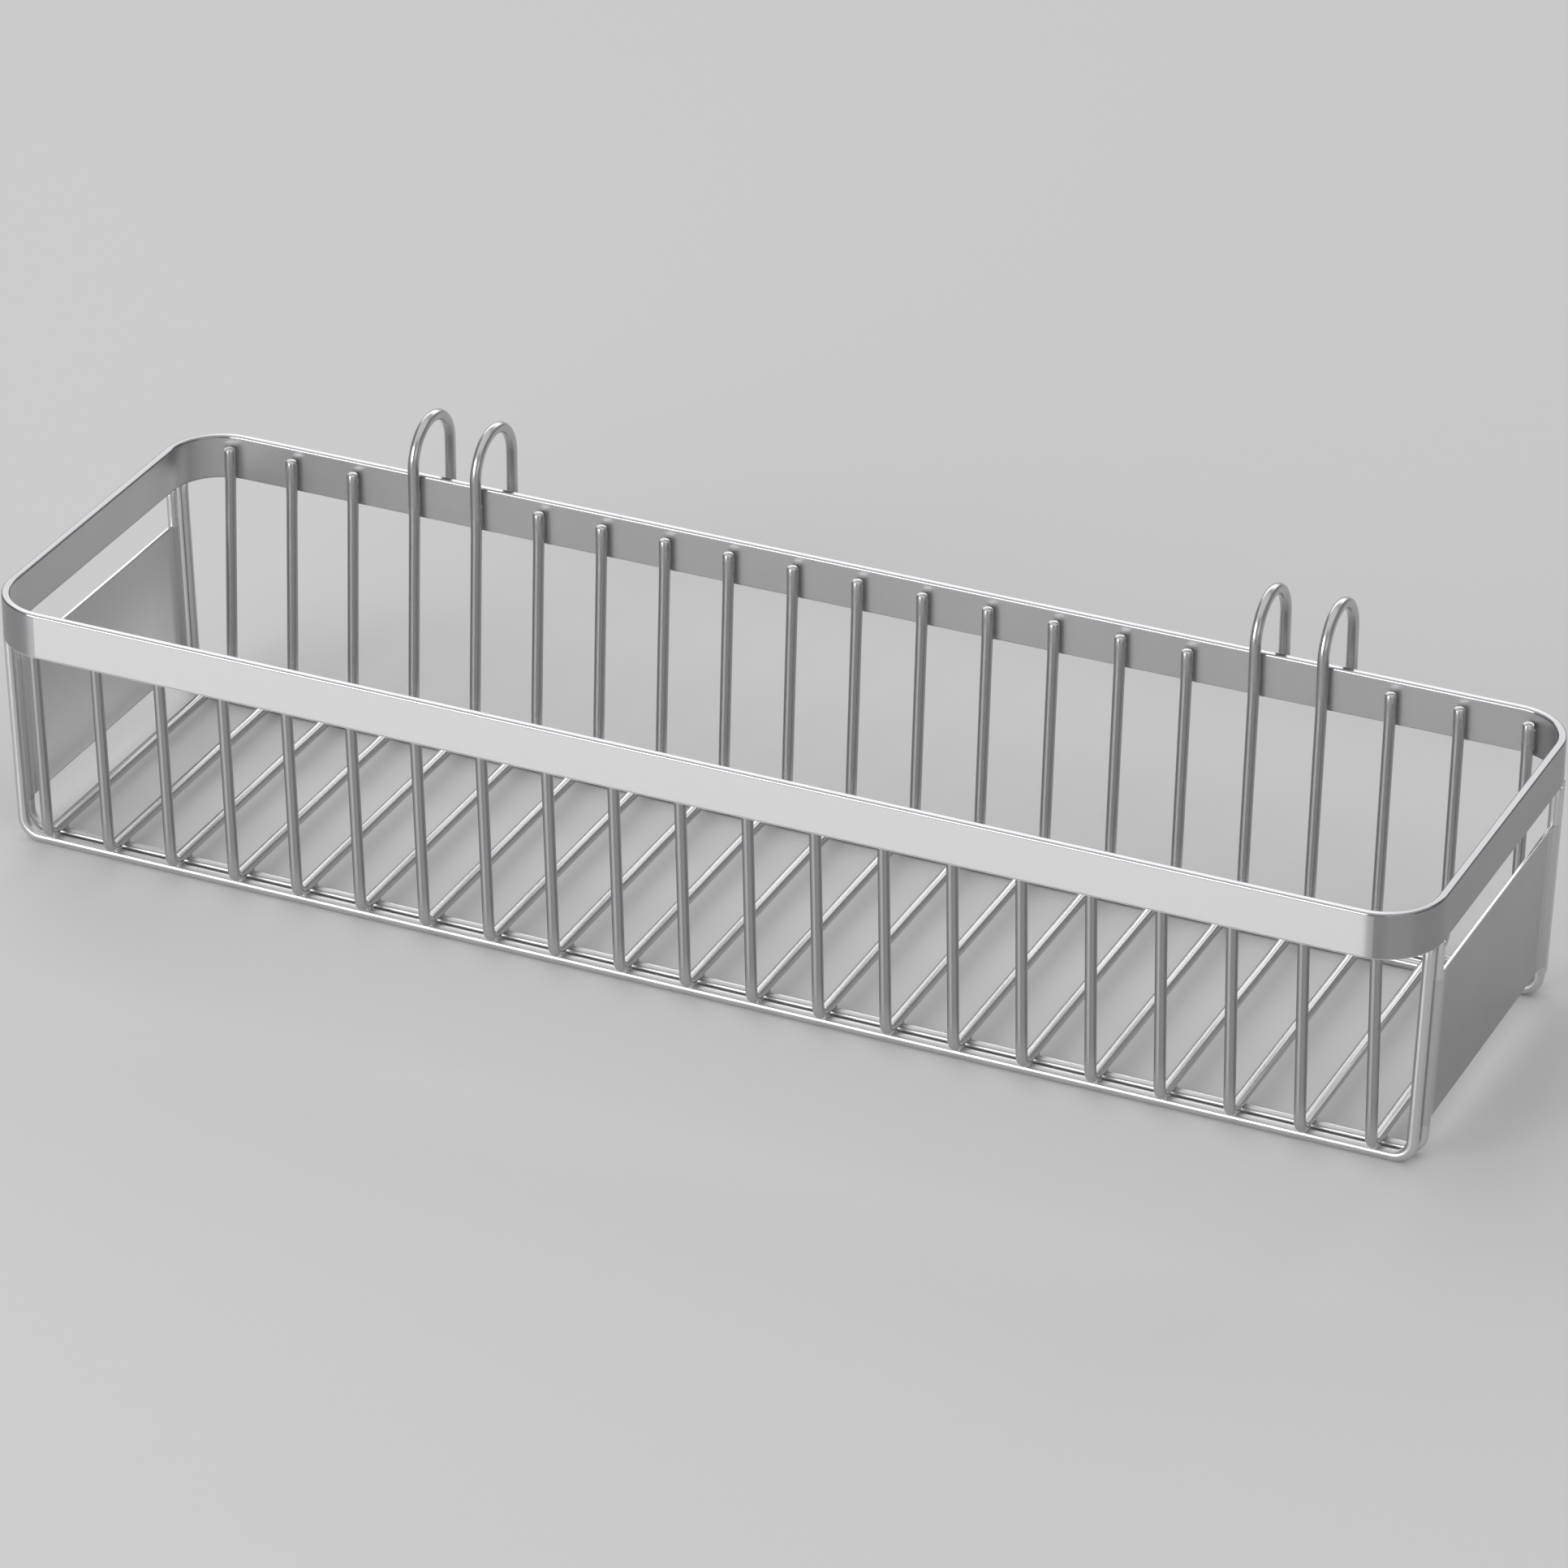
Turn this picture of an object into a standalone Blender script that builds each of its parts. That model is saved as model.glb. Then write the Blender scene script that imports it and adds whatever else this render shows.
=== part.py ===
"""A stainless wire cutlery basket with four hanging hooks, modelled at its real size.

Metres, +Z up. The basket's length runs along X, its hooks point to +Y, and its runner wires
stand on z = 0. Every piece hangs on one empty, which centres the whole outline over the origin.

Twenty-one cross wires make the front wall, the floor and the back wall in one bent piece each.
Four of them run on over the rim as hooks. A flat band goes round their tips, four long runner
wires lie under their floor runs and turn up at both ends, and a sheet closes each end.
"""
import math

import bmesh
import bpy
from mathutils import Matrix, Vector

# Cross wires
WIRE_DIAMETER = 0.0022
WIRE_COUNT = 21
WIRE_PITCH = 0.0134
TIP_BELOW_RIM = 0.0018
WALL_DRAW_IN = 0.00205
FLOOR_BEND_RADIUS = 0.0022

# Rim band
BAND_WIDTH = 0.0843
BAND_HEIGHT = 0.00915
BAND_THICKNESS = 0.0016
BAND_CORNER_RADIUS = 0.0110
BAND_EDGE_ROUNDING = 0.0005
BAND_PAST_LAST_WIRE = 0.00955
RIM_ABOVE_GROUND = 0.0535

# Hooks, counted in cross wires from each end of the basket
HOOK_WIRES_FROM_END = (4, 5)
HOOK_CLEAR_WIDTH = 0.01344
HOOK_STEM_ABOVE_RIM = 0.00168
HOOK_BACK_LEG = 0.0158

# Runner wires
RUNNER_DIAMETER = 0.0022
RUNNER_PAST_FLOOR_BEND = 0.0008
RUNNER_SPACING = 0.0034
RUNNER_END_BEND_RADIUS = 0.0036
END_DRAW_IN = 0.0014

# End sheets
SHEET_THICKNESS = 0.0008
SHEET_BELOW_BAND = 0.0073
SHEET_ABOVE_BEND = 0.0020
SHEET_EDGE_ROUNDING = 0.0002

# Room left at each weld, where the real pieces touch
WELD_GAP = 0.0003

# How finely the rounds are cut
BEND_STEPS = 6
HOOK_STEPS = 8
BAND_CORNER_STEPS = 8
WIRE_BEVEL_RESOLUTION = 2
EDGE_SEGMENTS = 3

# Sizes that follow from those above
WIRE_RADIUS = WIRE_DIAMETER / 2
RUNNER_RADIUS = RUNNER_DIAMETER / 2
BAND_HALF_THICKNESS = BAND_THICKNESS / 2
BAND_LINE_HALF_WIDTH = BAND_WIDTH / 2 - BAND_HALF_THICKNESS
BAND_LINE_HALF_LENGTH = (WIRE_COUNT - 1) / 2 * WIRE_PITCH + BAND_PAST_LAST_WIRE - BAND_HALF_THICKNESS
BAND_BOTTOM = RIM_ABOVE_GROUND - BAND_HEIGHT
CORNER_X = BAND_LINE_HALF_LENGTH - BAND_CORNER_RADIUS
CORNER_Y = BAND_LINE_HALF_WIDTH - BAND_CORNER_RADIUS
FLOOR_LINE = RUNNER_DIAMETER + WELD_GAP + WIRE_RADIUS
WALL_LINE = BAND_LINE_HALF_WIDTH - BAND_HALF_THICKNESS - WELD_GAP - WIRE_RADIUS
WALL_FOOT_LINE = WALL_LINE - WALL_DRAW_IN
OUTER_RUNNER_LINE = WALL_FOOT_LINE - FLOOR_BEND_RADIUS - RUNNER_PAST_FLOOR_BEND
INNER_RUNNER_LINE = OUTER_RUNNER_LINE - RUNNER_SPACING
HOOK_RADIUS = (HOOK_CLEAR_WIDTH + WIRE_DIAMETER) / 2
HOOK_REACH = WALL_LINE + 2 * HOOK_RADIUS + WIRE_RADIUS
BASKET_SHIFT = (BAND_WIDTH / 2 - HOOK_REACH) / 2


def clear_scene():
    for item in list(bpy.data.objects):
        bpy.data.objects.remove(item, do_unlink=True)


def metal(name, colour, roughness):
    """Bare metal with one flat colour."""
    material = bpy.data.materials.new(name)
    material.use_nodes = True
    shader = material.node_tree.nodes["Principled BSDF"]
    shader.inputs["Base Color"].default_value = (*colour, 1.0)
    shader.inputs["Roughness"].default_value = roughness
    shader.inputs["Metallic"].default_value = 1.0
    return material


def bent_line(corners, steps, closed=False):
    """Points of a line through the corners, each corner given as (point, bend radius).

    A bend touches both straight runs, so its arc starts one tangent length before the corner.
    """
    points = []
    last = len(corners) - 1
    for index, (corner, radius) in enumerate(corners):
        if radius == 0 or (not closed and index in (0, last)):
            points.append(corner)
            continue
        back = (corners[index - 1][0] - corner).normalized()
        ahead = (corners[(index + 1) % len(corners)][0] - corner).normalized()
        turn = math.pi - back.angle(ahead)
        tangent = radius * math.tan(turn / 2)
        centre = corner + (back + ahead).normalized() * radius / math.cos(turn / 2)
        start = corner + back * tangent - centre
        axis = ahead.cross(back).normalized()
        for step in range(steps + 1):
            points.append(centre + Matrix.Rotation(turn * step / steps, 3, axis) @ start)
    return points


def wire(name, points, radius, material):
    """Round wire along the points, with flat ends."""
    curve = bpy.data.curves.new(name, "CURVE")
    curve.dimensions = "3D"
    curve.twist_mode = "Z_UP"
    curve.bevel_depth = radius
    curve.bevel_resolution = WIRE_BEVEL_RESOLUTION
    curve.use_fill_caps = True
    spline = curve.splines.new("POLY")
    spline.points.add(len(points) - 1)
    for target, point in zip(spline.points, points):
        target.co = (*point, 1.0)
    curve.materials.append(material)
    return bpy.data.objects.new(name, curve)


def wall_line_at(x):
    """Distance of a wall wire from the middle plane: it follows the band round the corner."""
    past_corner = abs(x) - CORNER_X
    if past_corner <= 0:
        return WALL_LINE
    reach = WALL_LINE - CORNER_Y
    return CORNER_Y + math.sqrt(reach ** 2 - past_corner ** 2)


def band_line_end_at(y):
    """Distance of the band's middle line from the middle of the basket, along X."""
    past_corner = abs(y) - CORNER_Y
    if past_corner <= 0:
        return BAND_LINE_HALF_LENGTH
    return CORNER_X + math.sqrt(BAND_CORNER_RADIUS ** 2 - past_corner ** 2)


def basket_wire_corners(wall):
    """Front tip, front wall, floor and back wall of one cross wire, as far as the band."""
    foot = wall - WALL_DRAW_IN
    return [
        (Vector((0, -wall, RIM_ABOVE_GROUND - TIP_BELOW_RIM)), 0),
        (Vector((0, -wall, BAND_BOTTOM)), 0),
        (Vector((0, -foot, FLOOR_LINE)), FLOOR_BEND_RADIUS),
        (Vector((0, foot, FLOOR_LINE)), FLOOR_BEND_RADIUS),
        (Vector((0, wall, BAND_BOTTOM)), 0),
    ]


def cross_wire(name, x, material):
    wall = wall_line_at(x)
    corners = basket_wire_corners(wall)
    corners.append((Vector((0, wall, RIM_ABOVE_GROUND - TIP_BELOW_RIM)), 0))
    item = wire(name, bent_line(corners, BEND_STEPS), WIRE_RADIUS, material)
    item.location.x = x
    return item


def hook_wire(name, x, material):
    """A cross wire that rises through the rim, turns over it and comes down behind it."""
    wall = wall_line_at(x)
    back = wall + 2 * HOOK_RADIUS
    turn_start = RIM_ABOVE_GROUND + HOOK_STEM_ABOVE_RIM
    points = bent_line(basket_wire_corners(wall), BEND_STEPS)
    hook = [
        (Vector((0, wall, turn_start)), 0),
        (Vector((0, wall, turn_start + HOOK_RADIUS)), HOOK_RADIUS),
        (Vector((0, back, turn_start + HOOK_RADIUS)), HOOK_RADIUS),
        (Vector((0, back, turn_start - HOOK_BACK_LEG)), 0),
    ]
    turned = bent_line(hook, HOOK_STEPS)
    for point in turned:
        if (point - points[-1]).length > WIRE_RADIUS / 100:
            points.append(point)
    item = wire(name, points, WIRE_RADIUS, material)
    item.location.x = x
    return item


def runner_wire(name, y, material):
    """Long wire under the floor, turned up at both ends to the lower edge of the band."""
    top = band_line_end_at(y)
    foot = top - END_DRAW_IN
    top_height = BAND_BOTTOM - WELD_GAP
    corners = [
        (Vector((-top, 0, top_height)), 0),
        (Vector((-foot, 0, RUNNER_RADIUS)), RUNNER_END_BEND_RADIUS),
        (Vector((foot, 0, RUNNER_RADIUS)), RUNNER_END_BEND_RADIUS),
        (Vector((top, 0, top_height)), 0),
    ]
    item = wire(name, bent_line(corners, BEND_STEPS), RUNNER_RADIUS, material)
    item.location.y = y
    return item


def rim_band(material):
    """Flat strip bent into a rounded rectangle, its four long edges rounded over."""
    x = BAND_LINE_HALF_LENGTH
    y = BAND_LINE_HALF_WIDTH
    outline = [
        (Vector((x, -y, 0)), BAND_CORNER_RADIUS),
        (Vector((x, y, 0)), BAND_CORNER_RADIUS),
        (Vector((-x, y, 0)), BAND_CORNER_RADIUS),
        (Vector((-x, -y, 0)), BAND_CORNER_RADIUS),
    ]
    points = bent_line(outline, BAND_CORNER_STEPS, closed=True)
    curve = bpy.data.curves.new("rim_band", "CURVE")
    curve.dimensions = "2D"
    curve.fill_mode = "NONE"
    curve.extrude = BAND_HEIGHT / 2
    spline = curve.splines.new("POLY")
    spline.points.add(len(points) - 1)
    for target, point in zip(spline.points, points):
        target.co = (*point, 1.0)
    spline.use_cyclic_u = True
    curve.materials.append(material)
    item = bpy.data.objects.new("rim_band", curve)
    item.location.z = RIM_ABOVE_GROUND - BAND_HEIGHT / 2
    wall = item.modifiers.new("strip thickness", "SOLIDIFY")
    wall.thickness = BAND_THICKNESS
    wall.offset = 0
    wall.use_even_offset = True
    edges = item.modifiers.new("rounded edges", "BEVEL")
    edges.width = BAND_EDGE_ROUNDING
    edges.segments = EDGE_SEGMENTS
    edges.limit_method = "ANGLE"
    edges.angle_limit = math.radians(60)
    return item


def end_sheet(name, side, material):
    """Sheet held between the two inner runner wires' uprights, at their slant."""
    top_line = band_line_end_at(INNER_RUNNER_LINE)
    slant = math.atan2(END_DRAW_IN, BAND_BOTTOM - WELD_GAP - RUNNER_RADIUS)
    top = BAND_BOTTOM - SHEET_BELOW_BAND
    bottom = RUNNER_RADIUS + RUNNER_END_BEND_RADIUS + SHEET_ABOVE_BEND
    middle = (top + bottom) / 2
    width = 2 * (INNER_RUNNER_LINE - RUNNER_RADIUS - WELD_GAP)
    height = (top - bottom) / math.cos(slant)
    shape = bmesh.new()
    bmesh.ops.create_cube(shape, size=1, matrix=Matrix.Diagonal((SHEET_THICKNESS, width, height, 1)))
    mesh = bpy.data.meshes.new(name)
    shape.to_mesh(mesh)
    shape.free()
    mesh.materials.append(material)
    item = bpy.data.objects.new(name, mesh)
    item.location.x = side * (top_line - (BAND_BOTTOM - WELD_GAP - middle) * math.tan(slant))
    item.location.z = middle
    item.rotation_euler.y = side * slant
    edges = item.modifiers.new("rounded edges", "BEVEL")
    edges.width = SHEET_EDGE_ROUNDING
    edges.segments = 2
    return item


def is_hook(number):
    from_right = WIRE_COUNT + 1 - number
    return number in HOOK_WIRES_FROM_END or from_right in HOOK_WIRES_FROM_END


def build():
    clear_scene()
    collection = bpy.data.collections.new("hanging_cutlery_holder")
    bpy.context.scene.collection.children.link(collection)
    wire_steel = metal("bright drawn wire", (0.62, 0.62, 0.63), 0.22)
    band_steel = metal("polished strip", (0.72, 0.72, 0.72), 0.16)
    sheet_steel = metal("satin sheet", (0.50, 0.50, 0.51), 0.38)

    pieces = [rim_band(band_steel)]
    for number in range(1, WIRE_COUNT + 1):
        x = (number - (WIRE_COUNT + 1) / 2) * WIRE_PITCH
        if is_hook(number):
            pieces.append(hook_wire(f"hook_wire_{number:02d}", x, wire_steel))
        else:
            pieces.append(cross_wire(f"cross_wire_{number:02d}", x, wire_steel))
    for name, side in (("front", -1), ("rear", 1)):
        pieces.append(runner_wire(f"{name}_outer_runner", side * OUTER_RUNNER_LINE, wire_steel))
        pieces.append(runner_wire(f"{name}_inner_runner", side * INNER_RUNNER_LINE, wire_steel))
    pieces.append(end_sheet("left_end_sheet", -1, sheet_steel))
    pieces.append(end_sheet("right_end_sheet", 1, sheet_steel))

    basket = bpy.data.objects.new("basket", None)
    basket.location.y = BASKET_SHIFT
    collection.objects.link(basket)
    for piece in pieces:
        collection.objects.link(piece)
        piece.parent = basket


build()
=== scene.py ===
"""Looks of the hanging cutlery holder: round wires, rolled band, satin end sheets and their welds."""

import math

import bpy
import numpy as np
from mathutils import Matrix, Vector

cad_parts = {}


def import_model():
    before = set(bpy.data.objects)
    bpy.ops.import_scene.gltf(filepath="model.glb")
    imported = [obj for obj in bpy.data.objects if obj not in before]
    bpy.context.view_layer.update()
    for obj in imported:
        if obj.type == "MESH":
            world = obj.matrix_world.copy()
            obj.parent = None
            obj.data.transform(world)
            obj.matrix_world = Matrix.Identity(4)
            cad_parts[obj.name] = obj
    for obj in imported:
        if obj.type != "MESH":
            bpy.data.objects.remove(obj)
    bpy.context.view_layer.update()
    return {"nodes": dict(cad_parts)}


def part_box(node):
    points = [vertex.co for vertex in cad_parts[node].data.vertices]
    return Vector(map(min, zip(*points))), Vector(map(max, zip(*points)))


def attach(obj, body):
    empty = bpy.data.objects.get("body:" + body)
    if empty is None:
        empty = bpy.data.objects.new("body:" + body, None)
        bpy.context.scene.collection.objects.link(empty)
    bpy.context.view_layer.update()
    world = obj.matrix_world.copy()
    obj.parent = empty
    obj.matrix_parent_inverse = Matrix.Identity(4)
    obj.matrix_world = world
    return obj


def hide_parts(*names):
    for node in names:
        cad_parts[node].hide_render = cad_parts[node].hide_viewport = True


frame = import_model()

MM = 0.001
BODY = "root"
UP = np.array([0, 0, 1.0])

# Sizes read from the frame
BAND_LOW, BAND_HIGH = (np.array(corner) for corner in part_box("rim_band"))
WIRE_LOW, WIRE_HIGH = (np.array(corner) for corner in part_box("cross_wire_11"))
HOOK_HIGH = np.array(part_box("hook_wire_04")[1])
RUNNER_LOW, RUNNER_HIGH = (np.array(corner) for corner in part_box("front_outer_runner"))
SHEET_LOW, SHEET_HIGH = (np.array(corner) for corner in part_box("right_end_sheet"))
MIDDLE_Y = (BAND_LOW[1] + BAND_HIGH[1]) / 2
RIM_TOP = BAND_HIGH[2]
BAND_BOTTOM = BAND_LOW[2]
WIRE_RADIUS = (WIRE_HIGH[0] - WIRE_LOW[0]) / 2
RUNNER_RADIUS = (RUNNER_HIGH[1] - RUNNER_LOW[1]) / 2
WALL_LINE = (WIRE_HIGH[1] - WIRE_LOW[1]) / 2 - WIRE_RADIUS
TIP_TOP = WIRE_HIGH[2]
FLOOR_LINE = WIRE_LOW[2] + WIRE_RADIUS
HOOK_TOP = HOOK_HIGH[2]
HOOK_BACK_LINE = HOOK_HIGH[1] - MIDDLE_Y - WIRE_RADIUS

# Bends, thicknesses and gaps, as the frame's solids have them
WALL_DRAW_IN = 2.05 * MM
FLOOR_BEND_RADIUS = 2.2 * MM
BAND_THICKNESS = 1.6 * MM
BAND_CORNER_RADIUS = 11.0 * MM
END_DRAW_IN = 1.4 * MM
RUNNER_END_BEND_RADIUS = 3.6 * MM
HOOK_STEM_ABOVE_RIM = 1.68 * MM
HOOK_BACK_LEG = 15.8 * MM
SHEET_THICKNESS = 0.8 * MM
WELD_GAP = 0.3 * MM

# Fine sizes that only these surfaces have
BAND_EDGE_RADIUS = 0.42 * MM
SHARP_EDGE_SUPPORT = 0.04 * MM
RUNNER_TIP_IN_BAND = 0.3 * MM
SHEET_EDGE_RADIUS = 0.3 * MM
SHEET_WRAP_THICKNESS = 0.025 * MM
SHEET_WRAP_FILLET = 1.6 * MM

# The band's middle line, where it starts to bend, and the half height of its flat faces
BAND_LINE_X = BAND_HIGH[0] - BAND_THICKNESS / 2
BAND_LINE_Y = (BAND_HIGH[1] - BAND_LOW[1] - BAND_THICKNESS) / 2
BAND_LINE_Z = (BAND_HIGH[2] + BAND_LOW[2]) / 2
BEND_START_X = BAND_LINE_X - BAND_CORNER_RADIUS
BEND_START_Y = BAND_LINE_Y - BAND_CORNER_RADIUS
FACE_HALF_HEIGHT = (BAND_HIGH[2] - BAND_LOW[2]) / 2 - BAND_EDGE_RADIUS

# Finish zones, and zones of painted light and shade. A pair gives the distance at which a finish is full and
# the one at which it has ended.
FINISH_FADE = 0.12 * MM
PAINTED_LIGHT_INTO_BEND = 2.5 * MM
PAINTED_LIGHT_BEHIND_FRONT = (0.26 * MM, 0.34 * MM)
PAINTED_LIGHT_ABOVE_BAND_BOTTOM = (0.22 * MM, 0.36 * MM)
PAINTED_SHADE_ABOVE_FLOOR_LINE = (9 * MM, 1 * MM)
PAINTED_SHADE_PAST_BAND_BOTTOM = (0 * MM, 6 * MM)
PAINTED_LIGHT_ABOVE_SHEET_BOTTOM = 4 * MM
PAINTED_HIGHLIGHT_ABOVE_SHEET_BOTTOM = (1.2 * MM, 2.6 * MM)
RUBBED_BESIDE_SHEET_END = (0.8 * MM, 3 * MM)
PAINTED_HIGHLIGHT_BELOW_SHEET_TOP = (0.15 * MM, 0.3 * MM)
PAINTED_HIGHLIGHT_FADE_AT_SHEET_END = 0.3 * MM

# Sizes of the welds
WELD_FOOT = 0.72 * MM
WELD_WAIST = 0.58 * MM
WELD_DEPTH = 0.6 * MM
WELD_TAPER = 0.7 * MM
WELD_FROM_BAND_EDGE = 0.6 * MM
WELD_FROM_TIP = 1.4 * MM
WELD_SUNK_SHARE = 0.1
WELD_NARROW_END = 0.02
WELD_DEPTH_STEPS = 9
WELD_RINGS = 15
CROSSING_WELD = np.array([0.88, 0.88, 0.52]) * MM
CROSSING_WELD_SPREAD = (0.94, 1.06)
CROSSING_WELD_SEED = 3

# How finely the shapes are drawn
WIRE_POINT_GAP = 2 * MM
BAND_POINT_GAP = 4 * MM
BAND_BEND_STEPS = 40
TIP_POLE_SHARE = 0.02
TIP_FIRST_RING = 0.08
CLEAR_OF_TIP = 1.01
LARGEST_EDGE_SHARE = 0.95
PLATE_RINGS = 12
FILLET_RINGS = 9
WRAP_RINGS = 22
WRAP_LAST_ANGLE = 0.03
BEAD_LAST_LATITUDE = 0.96

# Camera, at the photograph's viewing angle, and the floor round the object
IMAGE_SIZE = 1932
FOCAL_PIXELS = 9151.4
SENSOR_WIDTH = 36.0
CAMERA_PLACE = (0.50340, -1.10779, 0.69242)
VIEW_AZIMUTH = 24.5037
VIEW_ELEVATION = 28.7669
VIEW_ROLL = 0.2227
CAMERA_SHIFT = (0.0039, -0.0016)
CAMERA_CLIP_START = 0.05
FLOOR_REACH = 6.0


def unit(vector):
    """The same direction at length 1."""
    return vector / np.linalg.norm(vector)


def length_along(points):
    """Distance of each point from the first one, along the line through them."""
    return np.r_[0, np.cumsum(np.linalg.norm(np.diff(points, axis=0), axis=1))]


def bent_line(corners, steps=24, closed=False):
    """Line through corners given as (point, bend radius): straight runs, and an arc at each corner.

    The arc touches both runs. Its centre lies on the corner's bisector, radius / cos(half turn)
    away, and its points are centre + start * cos(a) + forward * radius * sin(a), for a up to the turn.
    """
    rows = []
    for index, (corner, radius) in enumerate(corners):
        corner = np.asarray(corner, float)
        if radius == 0:
            rows.append(corner[None])
            continue
        back = unit(np.asarray(corners[index - 1][0], float) - corner)
        ahead = unit(np.asarray(corners[(index + 1) % len(corners)][0], float) - corner)
        turn = math.pi - math.acos(back @ ahead)
        centre = corner + unit(back + ahead) * radius / math.cos(turn / 2)
        start = corner + back * radius * math.tan(turn / 2) - centre
        angle = np.linspace(0, turn, steps + 1)[:, None]
        rows.append(centre + start * np.cos(angle) - back * radius * np.sin(angle))
    points = np.concatenate(rows)
    return np.concatenate([points, points[:1]]) if closed else points


def with_even_points(points, spacing):
    """The same line with more points: its own, and one every spacing along its length.

    A point on top of the one before it is dropped, and so is a new one too near an old one.
    """
    apart = np.linalg.norm(np.diff(points, axis=0), axis=1) > 0.0001 * MM
    points = points[np.r_[True, apart]]
    length = length_along(points)
    even = np.linspace(0, length[-1], max(2, int(length[-1] / spacing)))
    gap = np.abs(even[:, None] - length[None]).min(1)
    places = np.sort(np.r_[length, even[gap > spacing / 4]])
    return np.stack([np.interp(places, length, points[:, k]) for k in range(3)], 1)


def tangents(points):
    """Unit direction at each point: the mean of the directions of the two runs that meet there."""
    run = np.diff(points, axis=0)
    run /= np.linalg.norm(run, axis=1)[:, None]
    mean = np.concatenate([run[:1], run[:-1] + run[1:], run[-1:]])
    return mean / np.linalg.norm(mean, axis=1)[:, None]


def surface(rings, along, around, closed_line=False):
    """Mesh of a grid of rings: ring i is a closed loop of points, and rings[i][j] meets rings[i + 1][j].

    An open line is closed at both ends by a point at the middle of its first and last ring.
    The UV map is the distance along the line and around the ring, in millimetres. At the ends it
    runs on by half the ring's width.
    """
    count, sides = rings.shape[:2]
    points = rings.reshape(-1, 3)
    rows = np.arange(count if closed_line else count - 1)[:, None]
    columns = np.arange(sides)[None]
    after = (rows + 1) % count
    beside = (columns + 1) % sides
    quads = np.stack([rows * sides + columns, rows * sides + beside,
                      after * sides + beside, after * sides + columns], -1).reshape(-1, 4)
    u = np.broadcast_to(along[rows], (len(rows), sides))
    u_after = np.broadcast_to(along[rows + 1], (len(rows), sides))
    v = np.broadcast_to(around[columns], (len(rows), sides))
    v_beside = np.broadcast_to(around[columns + 1], (len(rows), sides))
    quad_uv = np.stack([np.stack([u, v], -1), np.stack([u, v_beside], -1),
                        np.stack([u_after, v_beside], -1), np.stack([u_after, v], -1)], -2)
    faces = quads.tolist()
    uv = quad_uv.reshape(-1, 2)
    if not closed_line:
        first = np.arange(sides)
        last = (count - 1) * sides + first
        start, end = len(points), len(points) + 1
        points = np.concatenate([points, rings[:1].mean(1), rings[-1:].mean(1)])
        start_fan = np.stack([np.roll(first, -1), first, np.full(sides, start)], -1)
        end_fan = np.stack([last, np.roll(last, -1), np.full(sides, end)], -1)
        faces += start_fan.tolist() + end_fan.tolist()
        v_edge = np.stack([around[:-1], around[1:], (around[:-1] + around[1:]) / 2], -1)
        reach = np.array([0, 0, np.linalg.norm(rings[0, 0] - rings[0, sides // 2]) / 2])
        start_uv = np.stack([np.broadcast_to(along[0] - reach, v_edge.shape), v_edge[:, [1, 0, 2]]], -1)
        end_uv = np.stack([np.broadcast_to(along[-1] + reach, v_edge.shape), v_edge], -1)
        uv = np.concatenate([uv, start_uv.reshape(-1, 2), end_uv.reshape(-1, 2)])
    return points, faces, uv / MM


def piece(name, parts, material, stands_for=()):
    """One object from one or more closed surfaces, its faces turned outwards by its signed volume."""
    points, faces, uv, shift = [], [], [], 0
    for part_points, part_faces, part_uv in parts:
        points.append(part_points)
        faces += [[corner + shift for corner in face] for face in part_faces]
        uv.append(part_uv)
        shift += len(part_points)
    mesh = bpy.data.meshes.new(name)
    mesh.from_pydata(np.concatenate(points).tolist(), [], faces)
    layer = mesh.uv_layers.new(name="length")
    layer.data.foreach_set("uv", np.concatenate(uv).astype(np.float32).ravel())
    mesh.validate()
    if signed_volume(mesh) < 0:
        mesh.flip_normals()
    mesh.shade_smooth()
    mesh.materials.append(material)
    item = bpy.data.objects.new(name, mesh)
    bpy.context.scene.collection.objects.link(item)
    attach(item, BODY)
    if stands_for:
        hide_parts(*stands_for)
    return item


def finish_inner_face(mesh, material, rings, sides):
    """The inner face of a swept rounded rectangle takes a material of its own.

    It is the run between the section's second and third corner, half way round: in a grid of faces
    with that many sides to a ring, every face whose place in its ring is sides / 2 - 1.
    """
    mesh.materials.append(material)
    index = np.zeros(len(mesh.polygons), np.int32)
    index[sides // 2 - 1:rings * sides:sides] = 1
    mesh.polygons.foreach_set("material_index", index)


def signed_volume(mesh):
    """Sum over the triangles of a . (b x c) / 6, positive where the faces point outwards."""
    mesh.calc_loop_triangles()
    corner = np.zeros(len(mesh.loop_triangles) * 3, np.int32)
    mesh.loop_triangles.foreach_get("vertices", corner)
    place = np.zeros(len(mesh.vertices) * 3)
    mesh.vertices.foreach_get("co", place)
    a, b, c = place.reshape(-1, 3)[corner.reshape(-1, 3)].transpose(1, 0, 2)
    return np.einsum("ij,ij->i", a, np.cross(b, c)).sum() / 6


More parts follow.
